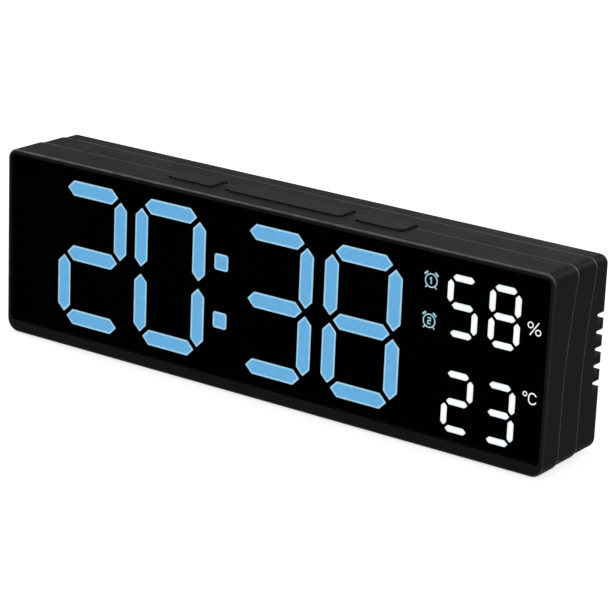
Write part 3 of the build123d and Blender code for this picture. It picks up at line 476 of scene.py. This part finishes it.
# Capacitors. Cans in dark blue shrunk sleeves on the back of the display's board; the pale stripe of the
# minus side shows at the right end of the row.
sleeve_blue = (0.010, 0.018, 0.070, 1)
sleeve_stripe = (0.42, 0.44, 0.46, 1)
stripe_share = 0.42
stripe_fade = 0.0001
capacitor_sleeve, sleeve_tree, sleeve_shader = surface("capacitor_sleeve", Specular_IOR_Level=0.5)
sleeve_low, sleeve_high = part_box("filter_capacitors")
sleeve_middle = (sleeve_low.x + sleeve_high.x) / 2
stripe_edge = sleeve_middle + (sleeve_high.x - sleeve_low.x) * stripe_share
sleeve_place = put(sleeve_tree, "ShaderNodeTexCoord").outputs["Object"]
sleeve_parts = put(sleeve_tree, "ShaderNodeSeparateXYZ", {0: sleeve_place})
sleeve_striped = spread(sleeve_tree, sleeve_parts.outputs["X"], low=0.0, high=1.0,
                        start=stripe_edge, end=stripe_edge + stripe_fade)
sleeve_colour = blend(sleeve_tree, sleeve_striped, sleeve_blue, sleeve_stripe)
sleeve_fleck = clouds(sleeve_tree, sleeve_place, scale=500.0, detail=4.0)
sleeve_gloss = spread(sleeve_tree, sleeve_fleck, low=0.22, high=0.38, start=0.3, end=0.7)
join(sleeve_tree, sleeve_shader, Base_Color=sleeve_colour, Roughness=sleeve_gloss)
dress(capacitor_sleeve, "filter_capacitors")


# Power socket. A black moulded block behind the back wall with a round collar through it, kept in place
# by a cradle on the rear case.
socket_black = (0.008, 0.008, 0.009, 1)
socket_bloom = (0.014, 0.014, 0.015, 1)
socket_plastic = moulded("socket_plastic", grain=1400.0, deep=socket_black, pale=socket_bloom, smooth=0.2,
                         rough=0.32, relief=0.15, Specular_IOR_Level=0.4)
dress(socket_plastic, "power_socket")


# Leads. Soft sheathed wires from the socket and the battery contacts to the display's board, one red and
# one black in each pair, and the flat grey ribbon of the sensor.
sheath_red = (0.30, 0.012, 0.010, 1)
sheath_black = (0.012, 0.012, 0.013, 1)
sheath_fade = 0.00005
ribbon_dark = (0.26, 0.26, 0.26, 1)
ribbon_pale = (0.44, 0.44, 0.45, 1)
ribbon_relief = 0.0002


def sheathed_pair(name, node_name, axis):
    """Sheath of a pair of wires: red on the lower side of an axis and black on the upper side."""
    material, tree, shader = surface(name, Specular_IOR_Level=0.3)
    low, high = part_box(node_name)
    middle = (getattr(low, axis) + getattr(high, axis)) / 2
    place = put(tree, "ShaderNodeTexCoord").outputs["Object"]
    parts = put(tree, "ShaderNodeSeparateXYZ", {0: place})
    side = spread(tree, parts.outputs[axis.upper()], low=0.0, high=1.0,
                  start=middle, end=middle + sheath_fade)
    fleck = clouds(tree, place, scale=800.0, detail=3.0)
    join(tree, shader, Base_Color=blend(tree, side, sheath_red, sheath_black),
         Roughness=spread(tree, fleck, low=0.42, high=0.62, start=0.3, end=0.7))
    dress(material, node_name)


sheathed_pair("power_sheath", "power_leads", "x")
sheathed_pair("battery_sheath", "battery_leads", "z")

ribbon_grey, ribbon_tree, ribbon_shader = surface("ribbon_grey", Specular_IOR_Level=0.35)
ribbon_place = put(ribbon_tree, "ShaderNodeTexCoord").outputs["Object"]
ribbon_wires = put(ribbon_tree, "ShaderNodeTexWave", {"Vector": ribbon_place, "Scale": 250.0},
                   bands_direction="Z").outputs["Fac"]
ribbon_colour = blend(ribbon_tree, ribbon_wires, ribbon_dark, ribbon_pale)
ribbon_fleck = clouds(ribbon_tree, ribbon_place, scale=700.0, detail=2.0)
ribbon_gloss = spread(ribbon_tree, ribbon_fleck, low=0.4, high=0.6)
ribbon_bump = put(ribbon_tree, "ShaderNodeBump",
                  {"Strength": 0.6, "Distance": ribbon_relief, "Height": ribbon_wires})
join(ribbon_tree, ribbon_shader, Base_Color=ribbon_colour, Roughness=ribbon_gloss,
     Normal=ribbon_bump.outputs[0])
dress(ribbon_grey, "sensor_ribbon")


# Keys. Three caps in the top, moulded in the same black as the case but a little smoother; a white
# plunger under each goes into its switch and lets it sink by half a millimetre.
key_black = (0.0066, 0.0072, 0.0076, 1)
key_bloom = (0.0090, 0.0099, 0.0103, 1)
# Paler colour of the keys' rubbed edges, partly wear and partly a painted highlight.
key_worn_highlight = (0.040, 0.041, 0.041, 1)
key_plastic = moulded("key_plastic", grain=1700.0, deep=key_black, pale=key_bloom, smooth=0.36, rough=0.44,
                      relief=0.2, dust=0.005, worn_highlight=key_worn_highlight, Specular_IOR_Level=0.009)
dress(key_plastic, "left_key", "snooze_key", "right_key")
dress(white_moulding, "left_plunger", "snooze_plunger", "right_plunger")


# Backup cells. Two printed metal jackets, black over most of their length with a copper coloured band
# at the plus end, lying opposite ways in the bay.
jacket_black = (0.016, 0.016, 0.018, 1)
jacket_copper = (0.42, 0.19, 0.07, 1)
band_share = 0.3
band_fade_share = 0.002
row_fade = 0.00005
cell_jacket, cell_tree, cell_shader = surface("cell_jacket", Metallic=0.6)
cell_low, cell_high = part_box("backup_cells")
cell_length = cell_high.x - cell_low.x
cell_middle = (cell_low.z + cell_high.z) / 2
band_far = cell_length * band_share
band_near = cell_length * (band_share - band_fade_share)
cell_place = put(cell_tree, "ShaderNodeTexCoord").outputs["Object"]
cell_parts = put(cell_tree, "ShaderNodeSeparateXYZ", {0: cell_place})
cell_right_band = spread(cell_tree, cell_parts.outputs["X"], low=0.0, high=1.0,
                         start=cell_high.x - band_far, end=cell_high.x - band_near)
cell_left_band = spread(cell_tree, cell_parts.outputs["X"], low=1.0, high=0.0,
                        start=cell_low.x + band_near, end=cell_low.x + band_far)
cell_upper = spread(cell_tree, cell_parts.outputs["Z"], low=0.0, high=1.0,
                    start=cell_middle, end=cell_middle + row_fade)
cell_band = put(cell_tree, "ShaderNodeMix", {0: cell_upper, 2: cell_left_band, 3: cell_right_band})
cell_colour = blend(cell_tree, cell_band.outputs[0], jacket_black, jacket_copper)
cell_fleck = clouds(cell_tree, cell_place, scale=400.0, detail=4.0)
cell_gloss = spread(cell_tree, cell_fleck, low=0.22, high=0.36, start=0.3, end=0.7)
join(cell_tree, cell_shader, Base_Color=cell_colour, Roughness=cell_gloss)
dress(cell_jacket, "backup_cells")


# Battery door. A flat cover in the back with grip ridges, moulded in the same plastic as the case and
# held by one screw.
# Its edges are painted paler like the case's: wear and a painted highlight.
door_plastic = moulded("door_plastic", grain=1500.0, deep=case_black, pale=case_bloom, smooth=0.40,
                       rough=0.50, relief=0.25, worn_highlight=case_worn_highlight, Specular_IOR_Level=0.009)
dress(door_plastic, "battery_door")


# Floor. A wide pale table top that runs on without an edge. It glows a little where it is seen, so that
# it looks white and still keeps the clock's soft shadow.
floor_half = 6.0
floor_grey = (0.42, 0.42, 0.42, 1)
floor_lift = 0.72
floor_corners = [(-floor_half, -floor_half, 0), (floor_half, -floor_half, 0), (floor_half, floor_half, 0),
                 (-floor_half, floor_half, 0)]
floor_mesh = bpy.data.meshes.new("floor")
floor_mesh.from_pydata(floor_corners, [], [(0, 1, 2, 3)])
floor = bpy.data.objects.new("floor", floor_mesh)
bpy.context.collection.objects.link(floor)


def seen(tree):
    """One where the camera sees it straight, mirrored or through the front, and otherwise zero."""
    path = put(tree, "ShaderNodeLightPath").outputs
    seen_or_mirrored = reckon(tree, "MAXIMUM", path["Is Camera Ray"], path["Is Glossy Ray"])
    return reckon(tree, "MAXIMUM", seen_or_mirrored, path["Is Transmission Ray"])


floor_white, floor_tree, floor_shader = surface("floor_white", Base_Color=floor_grey, Roughness=0.9,
                                                Specular_IOR_Level=0.0)
floor_strength = reckon(floor_tree, "MULTIPLY", seen(floor_tree), floor_lift)
floor_glow = put(floor_tree, "ShaderNodeEmission", {"Strength": floor_strength}).outputs[0]
floor_sum = put(floor_tree, "ShaderNodeAddShader", {0: floor_shader.outputs[0], 1: floor_glow}).outputs[0]
join(floor_tree, floor_tree.nodes["Material Output"], Surface=floor_sum)
floor_mesh.materials.append(floor_white)


# Light. A pale room all round, white where it is seen, a strip lamp above and to the left that looks
# straight down, and soft lamps from the right, low in front and behind.
room_white = (1, 1, 1, 1)
room_fill = 0.6
room_shown = 1.0
clock_middle = (0.0, 0.0, 0.035)
strip_place = (-0.82, 0.03, 1.12)
strip_foot = (-0.82, 0.03, 0.0)
room = bpy.data.worlds.new("room")
bpy.context.scene.world = room
room.use_nodes = True
room_tree = room.node_tree
room_walls = room_tree.nodes["Background"]
room_walls.inputs["Color"].default_value = room_white
join(room_tree, room_walls, Strength=spread(room_tree, seen(room_tree), low=room_fill, high=room_shown))


def lamp(name, place, target, length, width, power):
    """A soft oblong lamp that looks at a point."""
    light = bpy.data.lights.new(name, "AREA")
    light.shape = "RECTANGLE"
    light.size = length
    light.size_y = width
    light.energy = power
    holder = bpy.data.objects.new(name, light)
    holder.location = place
    holder.rotation_euler = (Vector(target) - Vector(place)).to_track_quat("-Z", "Y").to_euler()
    bpy.context.collection.objects.link(holder)


lamp("strip_lamp", strip_place, strip_foot, length=0.5, width=0.16, power=6.0)
lamp("right_lamp", (1.3, -0.5, 0.9), clock_middle, length=0.5, width=0.5, power=7.0)
lamp("front_lamp", (-0.4, -1.5, 0.12), clock_middle, length=0.5, width=0.2, power=7.0)
lamp("back_lamp", (-0.5, 1.4, 0.5), clock_middle, length=0.6, width=0.4, power=0.8)
lamp("rear_lamp", (0.3, 1.5, 0.6), clock_middle, length=0.5, width=0.5, power=10.0)


# Camera. A long lens from the right and a little above, at the photograph's viewing angle. Its place and
# its turn in degrees were fitted to the figures of the display and to the edges of the case.
camera_place = (0.532593, -0.753010, 0.327827)
camera_turn = (72.1425, -2.2699, 35.6067)
camera_data = bpy.data.cameras.new("camera")
camera_data.sensor_width = 36.0
camera_data.lens = 156.816
camera = bpy.data.objects.new("camera", camera_data)
camera.location = camera_place
camera.rotation_euler = [math.radians(angle) for angle in camera_turn]
bpy.context.collection.objects.link(camera)
bpy.context.scene.camera = camera
bpy.context.scene.view_settings.view_transform = "Standard"

bpy.context.view_layer.update()
